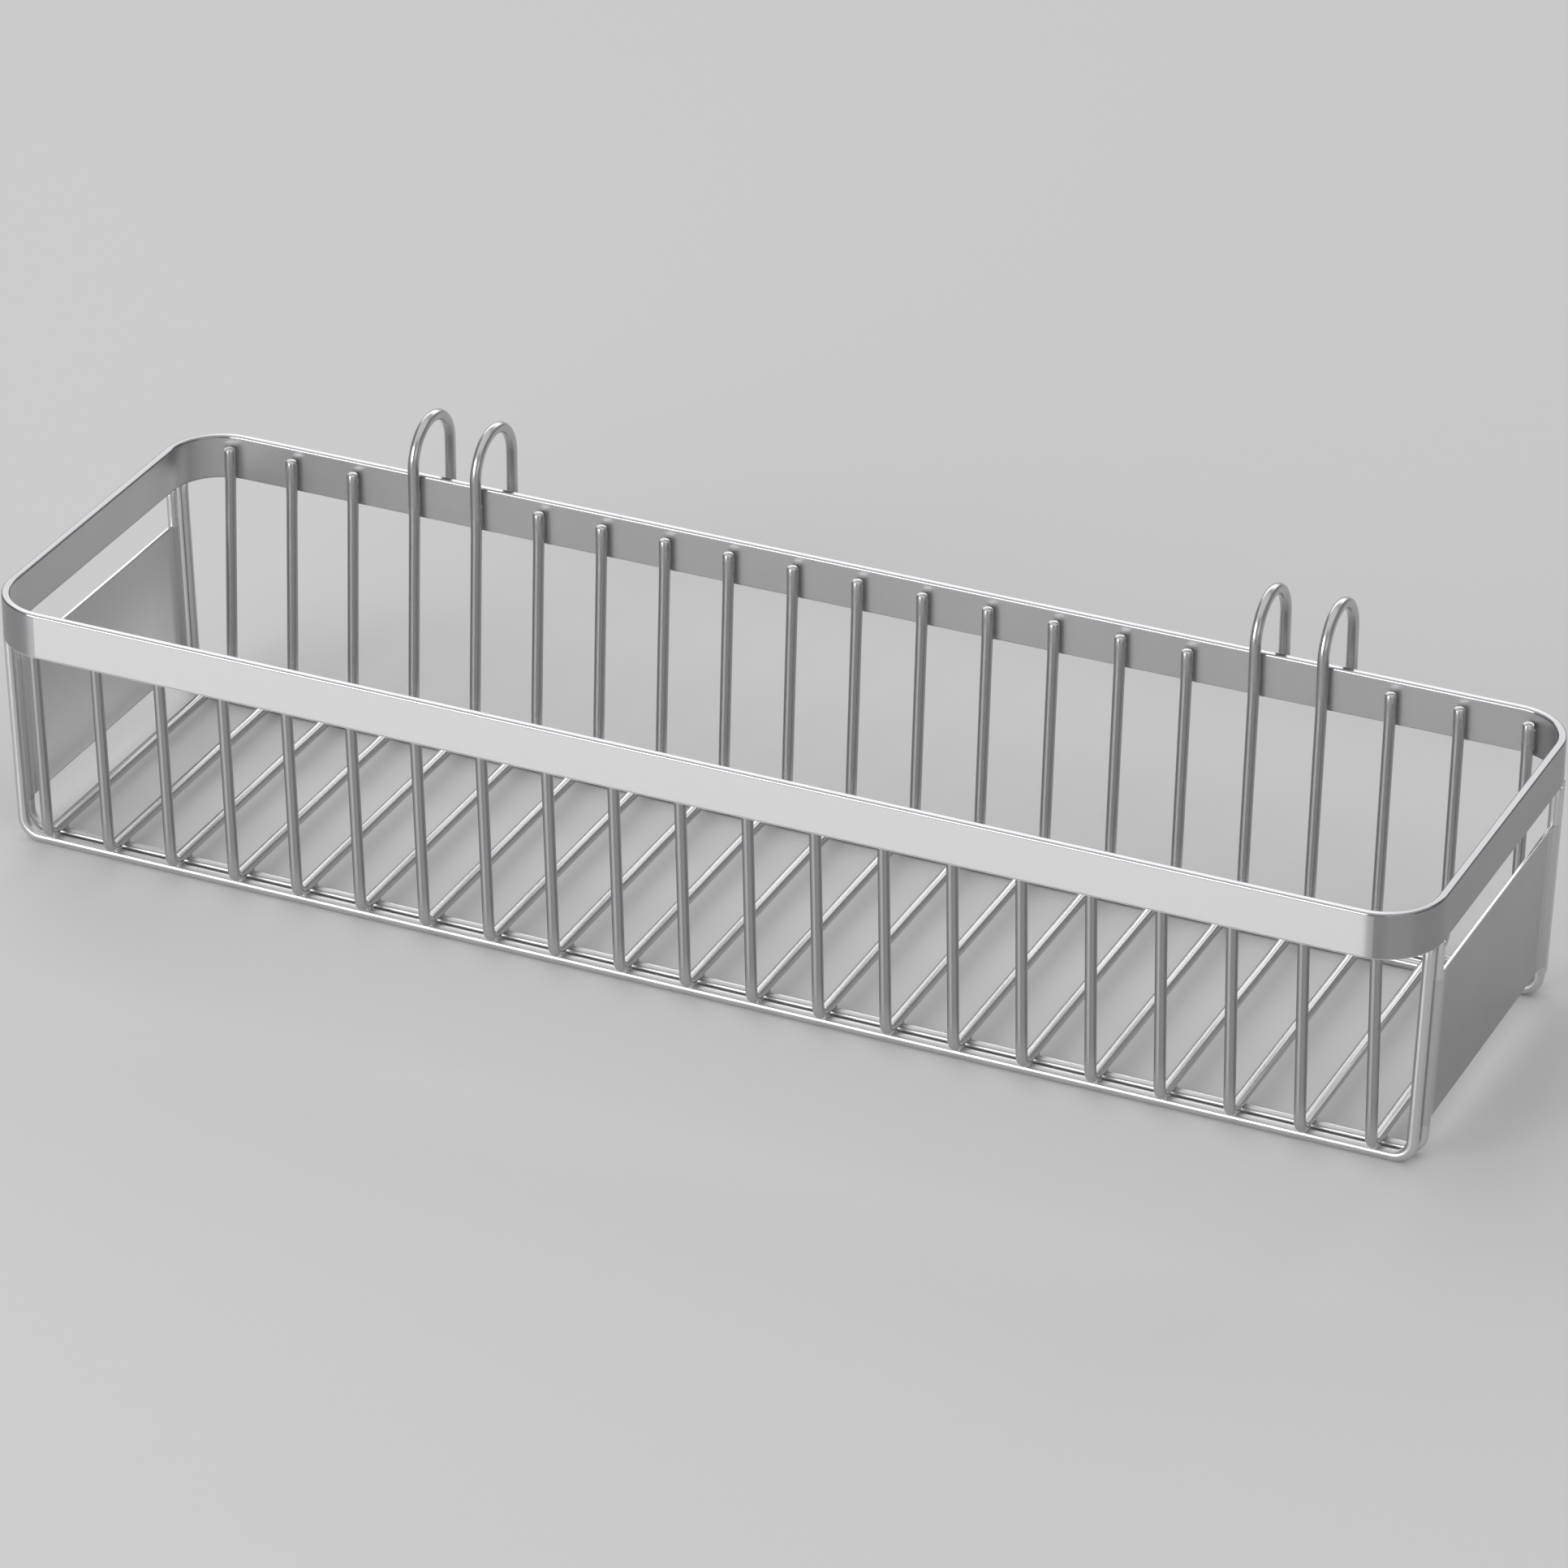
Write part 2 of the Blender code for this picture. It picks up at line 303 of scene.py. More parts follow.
def round_wire(points, radius, plane_normal, sides=28, dome=0.4, dome_rings=7):
    """Tube along a line that bends in one plane, closed by low domes.

    Ring point at angle a: line + r (cos a * n + sin a * plane normal), with n square to the line in
    its plane. Over the last dome * radius of the line, r falls as the cosine of an angle whose sine
    is the share of that stretch already run, so that the end is half a flattened ball.
    """
    normal = np.asarray(plane_normal, float)
    length = length_along(points)
    height = dome * radius
    swell = np.sin(np.linspace(TIP_FIRST_RING, 1, dome_rings) * math.pi / 2)
    lead = np.sort(height * (1 - swell))
    clear = height * CLEAR_OF_TIP
    inner = length[(length > clear) & (length < length[-1] - clear)]
    places = np.r_[lead, inner, length[-1] - lead[::-1]]
    from_end = np.minimum(places, length[-1] - places)
    share = np.clip(1 - from_end / height, 0, 1)
    thickness = radius * np.sqrt(np.clip(1 - share ** 2, TIP_POLE_SHARE ** 2, 1))
    line = np.stack([np.interp(places, length, points[:, k]) for k in range(3)], 1)
    side = np.cross(normal, tangents(line))
    angle = np.linspace(0, 2 * math.pi, sides + 1)
    ring = (side[:, None] * np.cos(angle[:-1])[None, :, None]
            + normal[None, None] * np.sin(angle[:-1])[None, :, None])
    rings = line[:, None] + ring * thickness[:, None, None]
    return surface(rings, places, angle * radius)


def rounded_rectangle(half_width, half_height, edge_radius, steps=8, support=SHARP_EDGE_SUPPORT):
    """Outlines of rounded rectangles, one for each half width, as an array of rings by points by (p, q).

    Each corner is a quarter circle. A support point on either side of it keeps the flat runs flat
    where the shading is smooth.
    """
    half_width = np.atleast_1d(np.asarray(half_width, float))
    radius = np.minimum(edge_radius, half_width * LARGEST_EDGE_SHARE)
    slack = np.minimum(support, (half_width - radius) / 2)
    quarter = np.linspace(0, math.pi / 2, steps + 1)
    rows = []
    for index, (p, q) in enumerate([(1, 1), (-1, 1), (-1, -1), (1, -1)]):
        angle = quarter + index * math.pi / 2
        arc_p = p * (half_width - radius)[:, None] + radius[:, None] * np.cos(angle)
        arc_q = q * (half_height - radius)[:, None] + radius[:, None] * np.sin(angle)
        upright = np.stack([p * half_width, q * (half_height - radius - support)], -1)[:, None]
        level_p = p * (half_width - radius - slack)
        level = np.stack([level_p, np.full_like(radius, q * half_height)], -1)[:, None]
        before, after = (upright, level) if index % 2 == 0 else (level, upright)
        rows.append(np.concatenate([before, np.stack([arc_p, arc_q], -1), after], 1))
    return np.concatenate(rows, 1)


# Materials


def linear(hex_colour):
    """Linear RGBA of an sRGB hex colour."""
    values = [int(hex_colour[k:k + 2], 16) / 255 for k in (1, 3, 5)]
    return tuple(v / 12.92 if v <= 0.04045 else ((v + 0.055) / 1.055) ** 2.4 for v in values) + (1.0,)


def node(tree, kind, links=(), **settings):
    """Adds a node, sets its properties and its inputs (by name or number) and links it."""
    made = tree.nodes.new(kind)
    inputs = settings.pop("inputs", {})
    for name, value in settings.items():
        setattr(made, name, value)
    for name, value in inputs.items():
        made.inputs[name].default_value = value
    for name, source in dict(links).items():
        tree.links.new(source, made.inputs[name])
    return made


def new_material(name):
    """A material and its shader."""
    material = bpy.data.materials.new(name)
    material.use_nodes = True
    return material, material.node_tree.nodes["Principled BSDF"]


def steel(name, colour, roughness, spread, line_gap, line_length, line_height, cloud,
          grain=0.0, grain_turn=0.0):
    """Stainless steel: bare metal, its sheen varied by lines along the piece and by soft clouds.

    Sizes of lines and clouds are in millimetres, and spread is how far the roughness varies. The grain
    is how much further a reflection is drawn out one way than the other: along the piece, or across
    it where it is turned by a quarter. Real polishing lines are some hundredths of a millimetre
    apart, too fine to show, so they are drawn several times as coarse and very shallow.
    """
    material, shader = new_material(name)
    tree = material.node_tree
    shader.inputs["Metallic"].default_value = 1.0
    shader.inputs["Anisotropic"].default_value = grain
    shader.inputs["Anisotropic Rotation"].default_value = grain_turn
    lengthwise = node(tree, "ShaderNodeTangent", direction_type="UV_MAP", uv_map="length")
    tree.links.new(lengthwise.outputs["Tangent"], shader.inputs["Tangent"])
    shader.inputs["Base Color"].default_value = linear(colour)
    place = node(tree, "ShaderNodeUVMap", uv_map="length")
    lines_place = node(tree, "ShaderNodeMapping", {"Vector": place.outputs["UV"]},
                       inputs={"Scale": (1 / line_length, 1 / line_gap, 1)})
    lines = node(tree, "ShaderNodeTexNoise", {"Vector": lines_place.outputs["Vector"]},
                 inputs={"Scale": 1.0, "Detail": 3.0, "Roughness": 0.6})
    spot = node(tree, "ShaderNodeTexCoord")
    clouds = node(tree, "ShaderNodeTexNoise", {"Vector": spot.outputs["Object"]},
                  inputs={"Scale": 1 / (cloud * MM), "Detail": 2.0, "Roughness": 0.5})
    mixed = node(tree, "ShaderNodeMath", {0: lines.outputs["Fac"], 1: clouds.outputs["Fac"]}, operation="ADD")
    sheen = node(tree, "ShaderNodeMapRange", {"Value": mixed.outputs["Value"]},
                 inputs={"From Min": 0.6, "From Max": 1.4, "To Min": roughness - spread,
                         "To Max": roughness + spread})
    tree.links.new(sheen.outputs["Result"], shader.inputs["Roughness"])
    bump = node(tree, "ShaderNodeBump", {"Height": lines.outputs["Fac"]},
                inputs={"Strength": 1.0, "Distance": line_height * MM})
    tree.links.new(bump.outputs["Normal"], shader.inputs["Normal"])
    return material


def place_of(tree):
    """The X, Y and Z of a point, in metres."""
    spot = node(tree, "ShaderNodeTexCoord")
    return node(tree, "ShaderNodeSeparateXYZ", {"Vector": spot.outputs["Object"]}).outputs


def fade(tree, value, full, none):
    """1 where the value is at full, 0 where it is at none, and softly from one to the other."""
    return node(tree, "ShaderNodeMapRange", {"Value": value}, interpolation_type="SMOOTHSTEP",
                inputs={"From Min": full, "From Max": none, "To Min": 1.0, "To Max": 0.0}).outputs["Result"]


def finish_differently(material, share, colour, roughness):
    """Gives the share of a surface another tint and sheen than the rest of its material.

    A mix node has sockets of the same name for every kind of value, and only those of its own kind
    are enabled.
    """
    tree = material.node_tree
    shader = tree.nodes["Principled BSDF"]
    for name, kind, value in (("Base Color", "RGBA", linear(colour)), ("Roughness", "FLOAT", roughness)):
        socket = shader.inputs[name]
        old = socket.default_value if kind == "FLOAT" else socket.default_value[:]
        mix = node(tree, "ShaderNodeMix", data_type=kind)
        ends = {item.name: item for item in mix.inputs if item.type in (kind, "VALUE") and item.enabled}
        tree.links.new(share, ends["Factor"])
        ends["A"].default_value = old
        ends["B"].default_value = value
        if socket.is_linked:
            tree.links.new(socket.links[0].from_socket, ends["A"])
        result = [item for item in mix.outputs if item.enabled][0]
        tree.links.new(result, socket)


def distance_from(tree, value, middle=0.0):
    """Distance of a value from the middle one, never negative."""
    off = node(tree, "ShaderNodeMath", {0: value}, operation="SUBTRACT", inputs={1: middle}).outputs["Value"]
    return node(tree, "ShaderNodeMath", {0: off}, operation="ABSOLUTE").outputs["Value"]


def both(tree, share, other):
    """Share of a surface that has both of two finish zones."""
    return node(tree, "ShaderNodeMath", {0: share, 1: other}, operation="MULTIPLY").outputs["Value"]


def paint_light_and_shade_on_edges(material):
    """The strip's two rounded edges have a mirror polish without grain, so that the rim shows crisp lines,
    and a slightly paler tint, which is a painted highlight. Through the bends and across the ends they are
    painted darker, as shade."""
    tree = material.node_tree
    place = place_of(tree)
    off = distance_from(tree, place["Z"], BAND_LINE_Z)
    share = fade(tree, off, FACE_HALF_HEIGHT + FINISH_FADE, FACE_HALF_HEIGHT)
    # Painted highlight: the edges are tinted paler; their low roughness is the real polish.
    finish_differently(material, share, colour="#B2B2B4", roughness=0.15)
    painted_shade_at_ends = fade(tree, distance_from(tree, place["X"]), BAND_HIGH[0] - BAND_THICKNESS, BEND_START_X)
    # Painted shade: the edges through the bends and across the ends are darker.
    finish_differently(material, both(tree, share, painted_shade_at_ends), colour="#929294", roughness=0.15)


def paint_light_near_the_floor(material):
    """The sheet's inner face is painted paler towards the floor, as light, and its lower edge is painted
    paler still, as a highlight, with a rougher sheen."""
    tree = material.node_tree
    height = place_of(tree)["Z"]
    # Painted light: the inner face grows paler towards the floor.
    lower = fade(tree, height, SHEET_LOW[2] + PAINTED_LIGHT_ABOVE_SHEET_BOTTOM, SHEET_HIGH[2])
    finish_differently(material, lower, colour="#F6F6F6", roughness=0.32)
    # Painted highlight: a paler strip along the lower edge.
    full, none = PAINTED_HIGHLIGHT_ABOVE_SHEET_BOTTOM
    edge = fade(tree, height, SHEET_LOW[2] + full, SHEET_LOW[2] + none)
    finish_differently(material, edge, colour="#FAFAFA", roughness=0.38)


def paint_light_on_front_face(material):
    """The flat front of the band, from the left bend to a little way into the right one, is painted
    paler than the rest, as light, and the painted light stops sharply."""
    tree = material.node_tree
    place = place_of(tree)
    from_middle = distance_from(tree, place["X"], PAINTED_LIGHT_INTO_BEND / 2)
    half_length = BEND_START_X + PAINTED_LIGHT_INTO_BEND / 2
    along = fade(tree, from_middle, half_length - FINISH_FADE, half_length + FINISH_FADE)
    full, none = PAINTED_LIGHT_BEHIND_FRONT
    depth = fade(tree, place["Y"], BAND_LOW[1] + full, BAND_LOW[1] + none)
    off = distance_from(tree, place["Z"], BAND_LINE_Z)
    height = fade(tree, off, FACE_HALF_HEIGHT - FINISH_FADE, FACE_HALF_HEIGHT)
    share = both(tree, both(tree, along, depth), height)
    # Painted light: the front face is paler than the rest of the band.
    finish_differently(material, share, colour="#CECECF", roughness=0.34)


def paint_light_on_lower_edge(material):
    """The strip's lower edge is painted brighter than the face above it, as light."""
    tree = material.node_tree
    full, none = PAINTED_LIGHT_ABOVE_BAND_BOTTOM
    share = fade(tree, place_of(tree)["Z"], BAND_BOTTOM + full, BAND_BOTTOM + none)
    # Painted light: the lower edge is paler than the face above it.
    finish_differently(material, share, colour="#F2F2F2", roughness=0.34)


def paint_shade_on_legs(material):
    """The straight legs are rougher and painted darker, as shade, with a soft light line down one
    side. The floor and the hooks' bends keep the plain wire's tint and sheen."""
    tree = material.node_tree
    height = place_of(tree)["Z"]
    full, none = PAINTED_SHADE_ABOVE_FLOOR_LINE
    above = fade(tree, height, FLOOR_LINE + full, FLOOR_LINE + none)
    full, none = PAINTED_SHADE_PAST_BAND_BOTTOM
    below = fade(tree, height, BAND_BOTTOM + full, BAND_BOTTOM + none)
    # Painted shade: the legs are darker; their higher roughness is real.
    finish_differently(material, both(tree, above, below), colour="#AEAEB0", roughness=0.37)


def rub_wrapped_edges(material):
    """Where the sheet is rolled round its wires it is rubbed as bright as they are."""
    tree = material.node_tree
    half_length = (SHEET_HIGH[1] - SHEET_LOW[1]) / 2
    from_middle = distance_from(tree, place_of(tree)["Y"], MIDDLE_Y)
    full, none = RUBBED_BESIDE_SHEET_END
    share = fade(tree, from_middle, half_length - full, half_length - none)
    finish_differently(material, share, colour="#C8C8C9", roughness=0.32)


def paint_highlight_on_top_edge(material):
    """The sheet's cut edge between its two wires is polished smooth and painted paler as a highlight,
    so that it draws a bright line along the top."""
    tree = material.node_tree
    place = place_of(tree)
    full, none = PAINTED_HIGHLIGHT_BELOW_SHEET_TOP
    height = fade(tree, place["Z"], SHEET_HIGH[2] - full, SHEET_HIGH[2] - none)
    half_length = (SHEET_HIGH[1] - SHEET_LOW[1]) / 2
    from_middle = distance_from(tree, place["Y"], MIDDLE_Y)
    along = fade(tree, from_middle, half_length - PAINTED_HIGHLIGHT_FADE_AT_SHEET_END, half_length)
    # Painted highlight: a paler tint along the top edge; its low roughness is real polish.
    finish_differently(material, both(tree, height, along), colour="#CECECF", roughness=0.16)


# Stainless steel wire, drawn through a die and polished. The eye gets round rods with a narrow bright
# line and darker flanks. The legs are rougher than the floor and the hooks, and painted darker as shade.
WIRE_STEEL = steel("drawn_stainless_wire", "#C0C0C1", roughness=0.20, spread=0.03, line_gap=0.35,
                   line_length=14.0, line_height=0.001, cloud=9.0, grain=0.9)
paint_shade_on_legs(WIRE_STEEL)

# The same wire in the four long runners, a little rougher, and painted paler as highlight. They are
# the palest wires, with a white line along the top and at the corners.
# Painted highlight: the runners are the cross wires' steel painted paler.
RUNNER_STEEL_PAINTED_PALER = steel("drawn_stainless_wire_painted_paler", "#D8D8D9", roughness=0.30, spread=0.03, line_gap=0.35,
                     line_length=14.0, line_height=0.001, cloud=9.0, grain=0.9)

# Cold rolled stainless strip, brushed across its length before it is bent. The eye gets a flat front
# painted pale as light, a smooth dark turn at each corner, and two thin bright lines at the rim, painted a
# little paler as highlight and darker at the ends as shade.
BAND_STEEL = steel("brushed_stainless_strip", "#ACACAE", roughness=0.35, spread=0.04, line_gap=0.30,
                   line_length=30.0, line_height=0.003, cloud=14.0, grain=0.95, grain_turn=0.25)
paint_light_on_front_face(BAND_STEEL)
paint_light_and_shade_on_edges(BAND_STEEL)
paint_light_on_lower_edge(BAND_STEEL)

# The inner face of the strip has no grain, and it is painted a paler grey than the outside, as the
# light reflected inside the basket: an even grey in which the wires show as soft dark bars.
# Painted reflection: the inner face is paler than the outside.
BAND_INSIDE_STEEL = steel("inside_stainless_strip_painted_paler", "#CECECF", roughness=0.35, spread=0.04,
                          line_gap=0.30, line_length=30.0, line_height=0.003, cloud=14.0)

# Stainless sheet with a satin finish from a fine belt. The eye gets an even, darker grey without
# sharp reflections, a cut edge along the top painted bright as a highlight, and paler rolls at the two wires.
SHEET_STEEL = steel("satin_stainless_sheet", "#AFAFB1", roughness=0.36, spread=0.05, line_gap=0.25,
                    line_length=20.0, line_height=0.004, cloud=12.0)
rub_wrapped_edges(SHEET_STEEL)
paint_highlight_on_top_edge(SHEET_STEEL)

# The inner face of the same sheet, painted paler as light, most of all low down.
# Painted light: a paler copy of the sheet steel on the inner face.
SHEET_INSIDE_STEEL = steel("inside_stainless_sheet_painted_paler", "#CCCCCD", roughness=0.36, spread=0.05,
                           line_gap=0.25, line_length=20.0, line_height=0.004, cloud=12.0)
paint_light_near_the_floor(SHEET_INSIDE_STEEL)
rub_wrapped_edges(SHEET_INSIDE_STEEL)

# Stainless weld metal, cleaned and polished in a bath: small smooth beads with a soft shine.
WELD_STEEL = steel("polished_weld_steel", "#B4B4B5", roughness=0.26, spread=0.05, line_gap=0.6,
                   line_length=0.8, line_height=0.001, cloud=2.0)


# Shapes


def middle_of(name, axis):
    """Middle of a node's box along one axis."""
    low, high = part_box(name)
    return (low[axis] + high[axis]) / 2


def past_bend_start(x):
    """How far a wire stands past the place where the band starts to bend."""
    return max(0.0, abs(x) - BEND_START_X)


def wall_line_at(x):
    """Distance of a wall wire from the middle plane: at the ends it follows the band's corner."""
    return BEND_START_Y + math.sqrt((WALL_LINE - BEND_START_Y) ** 2 - past_bend_start(x) ** 2)


def basket_corners(x, wall):
    """Corners of one cross wire from its front tip to the band's lower edge at the back."""
    foot = wall - WALL_DRAW_IN
    return [
        ((x, MIDDLE_Y - wall, TIP_TOP), 0),
        ((x, MIDDLE_Y - wall, BAND_BOTTOM), 0),
        ((x, MIDDLE_Y - foot, FLOOR_LINE), FLOOR_BEND_RADIUS),
        ((x, MIDDLE_Y + foot, FLOOR_LINE), FLOOR_BEND_RADIUS),
        ((x, MIDDLE_Y + wall, BAND_BOTTOM), 0),
    ]


def wire_piece(name, corners, radius, plane_normal, material):
    """Round wire along a line through the corners, in place of the node's faceted one."""
    line = with_even_points(bent_line(corners), WIRE_POINT_GAP)
    piece(name + "_round", [round_wire(line, radius, plane_normal)], material, [name])


def cross_wire(name):
    """A U of round wire: front wall, floor and back wall."""
    x = middle_of(name, 0)
    wall = wall_line_at(x)
    corners = basket_corners(x, wall) + [((x, MIDDLE_Y + wall, TIP_TOP), 0)]
    wire_piece(name, corners, WIRE_RADIUS, (1, 0, 0), WIRE_STEEL)


def hook_wire(name):
    """A cross wire that rises past the rim, turns over in a half circle and comes down behind it."""
    x = middle_of(name, 0)
    wall = wall_line_at(x)
    radius = (HOOK_BACK_LINE - wall) / 2
    top = HOOK_TOP - WIRE_RADIUS
    corners = basket_corners(x, wall) + [
        ((x, MIDDLE_Y + wall, top), radius),
        ((x, MIDDLE_Y + HOOK_BACK_LINE, top), radius),
        ((x, MIDDLE_Y + HOOK_BACK_LINE, RIM_TOP + HOOK_STEM_ABOVE_RIM - HOOK_BACK_LEG), 0),
    ]
    wire_piece(name, corners, WIRE_RADIUS, (1, 0, 0), WIRE_STEEL)


def runner_wire(name):
    """Long wire under the floor, from its left upper end to its right one, both turned up to the band."""
    low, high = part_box(name)
    y = middle_of(name, 1)
    top = high[0] - RUNNER_RADIUS
    foot = top - END_DRAW_IN
    corners = [
        ((-top, y, BAND_BOTTOM + RUNNER_TIP_IN_BAND), 0),
        ((-foot, y, low[2] + RUNNER_RADIUS), RUNNER_END_BEND_RADIUS),
        ((foot, y, low[2] + RUNNER_RADIUS), RUNNER_END_BEND_RADIUS),
        ((top, y, BAND_BOTTOM + RUNNER_TIP_IN_BAND), 0),
    ]
    wire_piece(name, corners, RUNNER_RADIUS, (0, 1, 0), RUNNER_STEEL_PAINTED_PALER)


def rim_band():
    """Strip swept round a rounded rectangle.

    The section is a tall rounded rectangle: corner centres plus a quarter circle at each corner.
    Ring point: line + outwards * section p + up * section q.
    """
    corners = [((x * BAND_LINE_X, y * BAND_LINE_Y, 0), BAND_CORNER_RADIUS)
               for x, y in ((1, -1), (1, 1), (-1, 1), (-1, -1))]
    line = with_even_points(bent_line(corners, BAND_BEND_STEPS, closed=True), BAND_POINT_GAP)
    direction = tangents(line)
    direction[[0, -1]] = unit(direction[0] + direction[-1])
    line, direction = line[:-1], direction[:-1]
    outwards = np.cross(direction, UP)
    section = rounded_rectangle(BAND_THICKNESS / 2, (BAND_HIGH[2] - BAND_LOW[2]) / 2, BAND_EDGE_RADIUS)[0]
    rings = (line[:, None] + outwards[:, None] * section[None, :, :1]
             + UP * section[None, :, 1:])
    rings = rings + np.array([0, MIDDLE_Y, BAND_LINE_Z])
    length = length_along(np.concatenate([line, line[:1]]))
    around = length_along(np.concatenate([section, section[:1]]))
    made = surface(rings, length, around, closed_line=True)
    band = piece("rim_band_rolled", [made], BAND_STEEL, ["rim_band"])
    finish_inner_face(band.data, BAND_INSIDE_STEEL, len(rings), len(section))


def end_sheet(name):
    """Sheet whose upright edges are wrapped round the inner runners.

    Half its thickness is a function of the distance from the wire's middle: on the plate it is
    constant, then it follows a concave arc of the fillet radius, then a circle round the wire.
    A rounded rectangle of that thickness is carried from the front wire to the back one.
    """
    low, high = (np.array(corner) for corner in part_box(name))
    side = 1 if low[0] > 0 else -1
    inner_low, inner_high = (np.array(corner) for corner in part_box("rear_inner_runner"))
    wire_y = middle_of("rear_inner_runner", 1) - MIDDLE_Y
    wrap = RUNNER_RADIUS + SHEET_WRAP_THICKNESS
    half = SHEET_THICKNESS / 2
    reach = math.sqrt((wrap + SHEET_WRAP_FILLET) ** 2 - (half + SHEET_WRAP_FILLET) ** 2)
    meet = reach * wrap / (wrap + SHEET_WRAP_FILLET)
    plate = np.linspace(0, wire_y - reach, PLATE_RINGS)
    fillet = np.linspace(wire_y - reach, wire_y - meet, FILLET_RINGS)[1:]
    fillet_half = half + SHEET_WRAP_FILLET - np.sqrt(SHEET_WRAP_FILLET ** 2 - (fillet - plate[-1]) ** 2)
    turn = np.linspace(math.pi - math.acos(meet / wrap), WRAP_LAST_ANGLE, WRAP_RINGS)[1:]
    across = np.r_[plate, fillet, wire_y + wrap * np.cos(turn)]
    thickness = np.r_[np.full_like(plate, half), fillet_half, wrap * np.sin(turn)]
    across = np.r_[-across[:0:-1], across]
    thickness = np.r_[thickness[:0:-1], thickness]
    section = rounded_rectangle(thickness, (high[2] - low[2]) / 2, SHEET_EDGE_RADIUS)
    middle = (high[2] + low[2]) / 2
    slope = END_DRAW_IN / (inner_high[2] - inner_low[2] - RUNNER_RADIUS)
    line_x = inner_high[0] - RUNNER_RADIUS - slope * (inner_high[2] - middle - section[:, :, 1])
    rings = np.stack([side * (line_x + section[:, :, 0]),
                      np.broadcast_to(MIDDLE_Y + across[:, None], line_x.shape),
                      middle + section[:, :, 1]], -1)
    height = np.r_[length_along(section[0]), 2 * (high[2] - low[2] + SHEET_THICKNESS)]
    made = surface(rings, across, height)
    sheet = piece(name + "_wrapped", [made], SHEET_STEEL, [name])
    finish_inner_face(sheet.data, SHEET_INSIDE_STEEL, len(rings) - 1, rings.shape[1])


def bead(centre, radii, rings=9, sides=16):
    """Ellipsoid of weld metal: at latitude b and longitude a it is centre + radii times
    (cos b cos a, cos b sin a, sin b)."""
    latitude = np.linspace(-BEAD_LAST_LATITUDE, BEAD_LAST_LATITUDE, rings) * math.pi / 2
    angle = np.linspace(0, 2 * math.pi, sides + 1)
    across = np.cos(latitude)[:, None] * np.array([radii[0], radii[1]])[:, None, None] * np.stack(
        [np.cos(angle[:-1]), np.sin(angle[:-1])])[:, None]
    up = np.broadcast_to(radii[2] * np.sin(latitude)[:, None], across[0].shape)
    return surface(np.asarray(centre) + np.stack([across[0], across[1], up], -1),
                   latitude * radii[2], angle * radii[0])


def band_weld(x, side):
    """Strip of weld metal between the band and one leg of a cross wire.

    Its half width falls from the band to the wire as a square, which gives a hollow fillet on
    both sides, and towards its upper and lower end it narrows as a circle does.
    """
    wall = wall_line_at(x)
    outwards = unit(np.array([past_bend_start(x) * np.sign(x), side * (wall - BEND_START_Y), 0]))
    beside = np.array([outwards[1], -outwards[0], 0])
    depth = np.linspace(-WELD_SUNK_SHARE, 1, WELD_DEPTH_STEPS)
    half_width = WELD_WAIST + (WELD_FOOT - WELD_WAIST) * (1 - np.clip(depth, 0, 1)) ** 2
    inwards = np.r_[depth, depth[::-1]] * WELD_DEPTH
    sideways = np.r_[half_width, -half_width[::-1]]
    height = np.linspace(BAND_BOTTOM + WELD_FROM_BAND_EDGE, TIP_TOP - WELD_FROM_TIP, WELD_RINGS)
    from_end = np.minimum(height - height[0], height[-1] - height) / WELD_TAPER
    share = np.sqrt(1 - (1 - np.clip(from_end, WELD_NARROW_END, 1)) ** 2)
    face = np.array([x, MIDDLE_Y + side * wall, 0]) + outwards * (WIRE_RADIUS + WELD_GAP)
    rings = (face - outwards * inwards[:, None] + beside * sideways[:, None] * share[:, None, None]
             + UP * height[:, None, None])
    around = np.r_[0, np.cumsum(np.hypot(np.diff(inwards), np.diff(sideways))), 0]
    around[-1] = around[-2] + 2 * half_width[0]
    return surface(rings, height, around)


def welds():
    """The weld metal: where the wires stand against the band, and under the floor where wires cross."""
    wires = sorted(name for name in frame["nodes"] if name.startswith(("cross_wire", "hook_wire")))
    places = [middle_of(name, 0) for name in wires]
    for word, side in (("front", -1), ("rear", 1)):
        piece(word + "_band_welds", [band_weld(x, side) for x in places], WELD_STEEL)
    size = np.random.default_rng(CROSSING_WELD_SEED)
    for name in sorted(frame["nodes"]):
        if not name.endswith("runner"):
            continue
        y = middle_of(name, 1)
        runner_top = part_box(name)[0][2] + 2 * RUNNER_RADIUS
        z = (runner_top + FLOOR_LINE - WIRE_RADIUS) / 2
        parts = [bead((x, y, z), CROSSING_WELD * size.uniform(*CROSSING_WELD_SPREAD, 3)) for x in places]
        piece(name + "_welds", parts, WELD_STEEL)


# Stage


def camera():
    """Camera at the photograph's place, turned to its view and rolled a little."""
    data = bpy.data.cameras.new("camera")
    data.sensor_width = SENSOR_WIDTH
    data.lens = FOCAL_PIXELS / IMAGE_SIZE * SENSOR_WIDTH
    data.shift_x, data.shift_y = CAMERA_SHIFT
    data.clip_start = CAMERA_CLIP_START
    item = bpy.data.objects.new("camera", data)
    bpy.context.scene.collection.objects.link(item)
    azimuth, elevation = math.radians(VIEW_AZIMUTH), math.radians(VIEW_ELEVATION)
    forward = Vector((-math.sin(azimuth) * math.cos(elevation), math.cos(azimuth) * math.cos(elevation),
                      -math.sin(elevation)))
    turn = forward.to_track_quat("-Z", "Y").to_matrix() @ Matrix.Rotation(math.radians(VIEW_ROLL), 3, "Z")
    item.matrix_world = Matrix.Translation(CAMERA_PLACE) @ turn.to_4x4()
    bpy.context.scene.camera = item


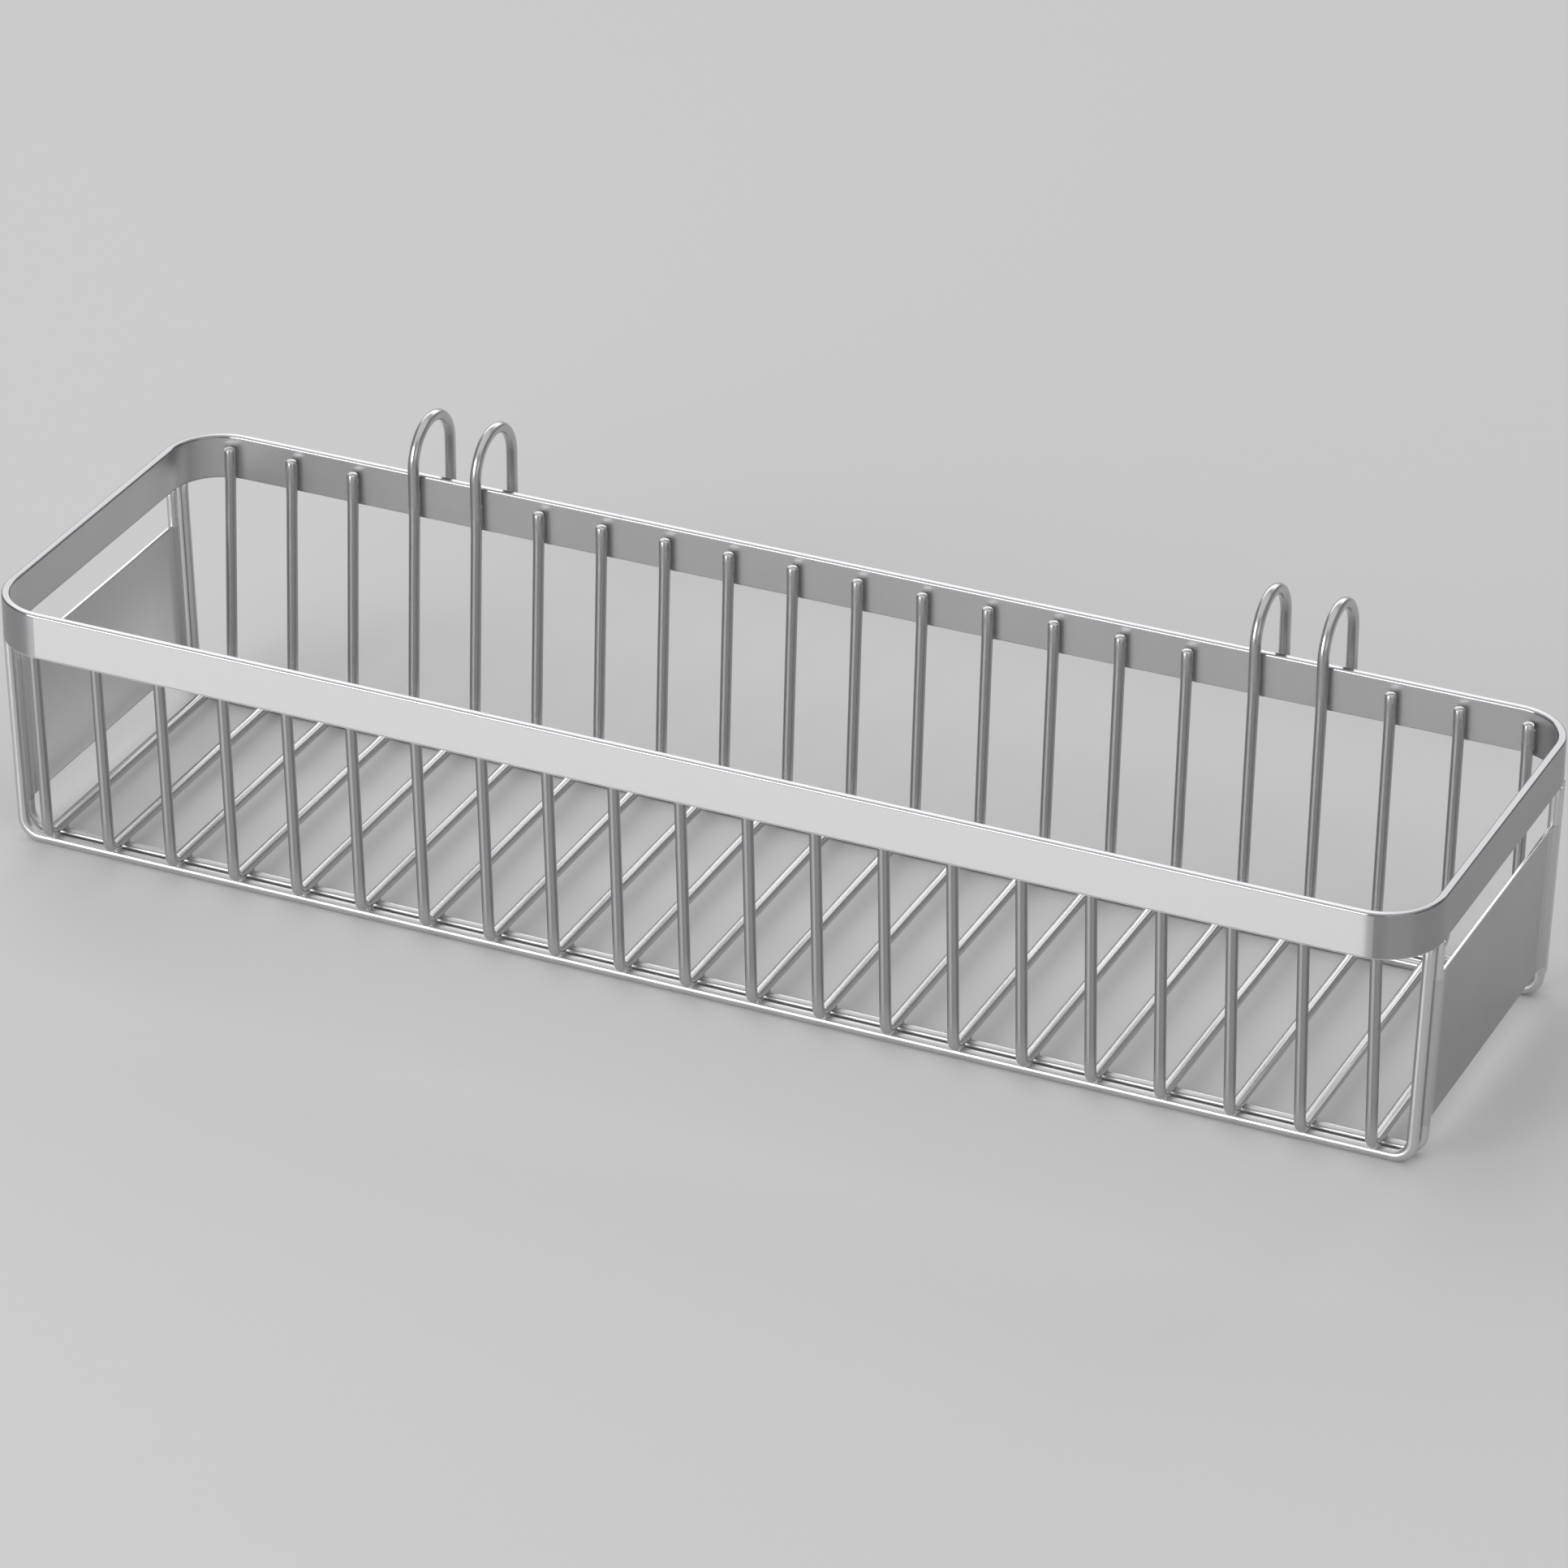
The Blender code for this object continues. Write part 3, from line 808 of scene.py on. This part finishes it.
def floor():
    """Pale grey painted board, matt, so that it shows the object's shadow and nothing else."""
    material, shader = new_material("pale_studio_floor")
    shader.inputs["Base Color"].default_value = linear("#D1D1D1")
    shader.inputs["Roughness"].default_value = 0.9
    mesh = bpy.data.meshes.new("floor")
    far = FLOOR_REACH
    mesh.from_pydata([(-far, -far, 0), (far, -far, 0), (far, far, 0), (-far, far, 0)], [], [(0, 1, 2, 3)])
    mesh.materials.append(material)
    item = bpy.data.objects.new("floor", mesh)
    bpy.context.scene.collection.objects.link(item)


def lamp(name, place, target, size, radiance):
    """Soft rectangular lamp facing the target. Its power is radiance * pi * area."""
    data = bpy.data.lights.new(name, "AREA")
    data.shape = "RECTANGLE"
    data.size, data.size_y = size
    data.energy = radiance * math.pi * size[0] * size[1]
    item = bpy.data.objects.new(name, data)
    bpy.context.scene.collection.objects.link(item)
    item.location = place
    item.rotation_euler = (Vector(target) - Vector(place)).to_track_quat("-Z", "Y").to_euler()


def world():
    """Even grey surroundings, which keep the far floor and the shadows light."""
    shade = bpy.data.worlds.new("studio")
    shade.use_nodes = True
    bpy.context.scene.world = shade
    shade.node_tree.nodes["Background"].inputs["Color"].default_value = linear("#999999")


def lamps():
    """Four soft lamps. The rear one lights the tops that the camera sees. The front left one lights the
    band's front face and draws the light line down each wire. The other two only fill the shadows."""
    lamp("overhead_softbox", place=(0, -0.05, 0.97), target=(0, -0.05, 0),
         size=(1.95, 1.35), radiance=0.6)
    lamp("rear_softbox", place=(-0.63, 1.84, 1.06), target=(-0.18, 0.58, 0),
         size=(3.24, 1.1), radiance=1.9)
    lamp("front_left_softbox", place=(-0.756, -1.67, 0.624), target=(-0.45, -0.05, 0.01),
         size=(1.44, 1.0), radiance=4.5)
    lamp("right_front_softbox", place=(2.16, -1.85, 0.73), target=(0.1, -0.1, 0.05),
         size=(2.34, 1.26), radiance=0.6)


def build():
    """Every piece of the basket, then the stage round it."""
    for name in sorted(frame["nodes"]):
        if name.startswith("cross_wire"):
            cross_wire(name)
        elif name.startswith("hook_wire"):
            hook_wire(name)
        elif name.endswith("runner"):
            runner_wire(name)
    rim_band()
    for name in ("left_end_sheet", "right_end_sheet"):
        end_sheet(name)
    welds()
    camera()
    floor()
    world()
    lamps()
    bpy.context.scene.view_settings.view_transform = "Standard"


build()
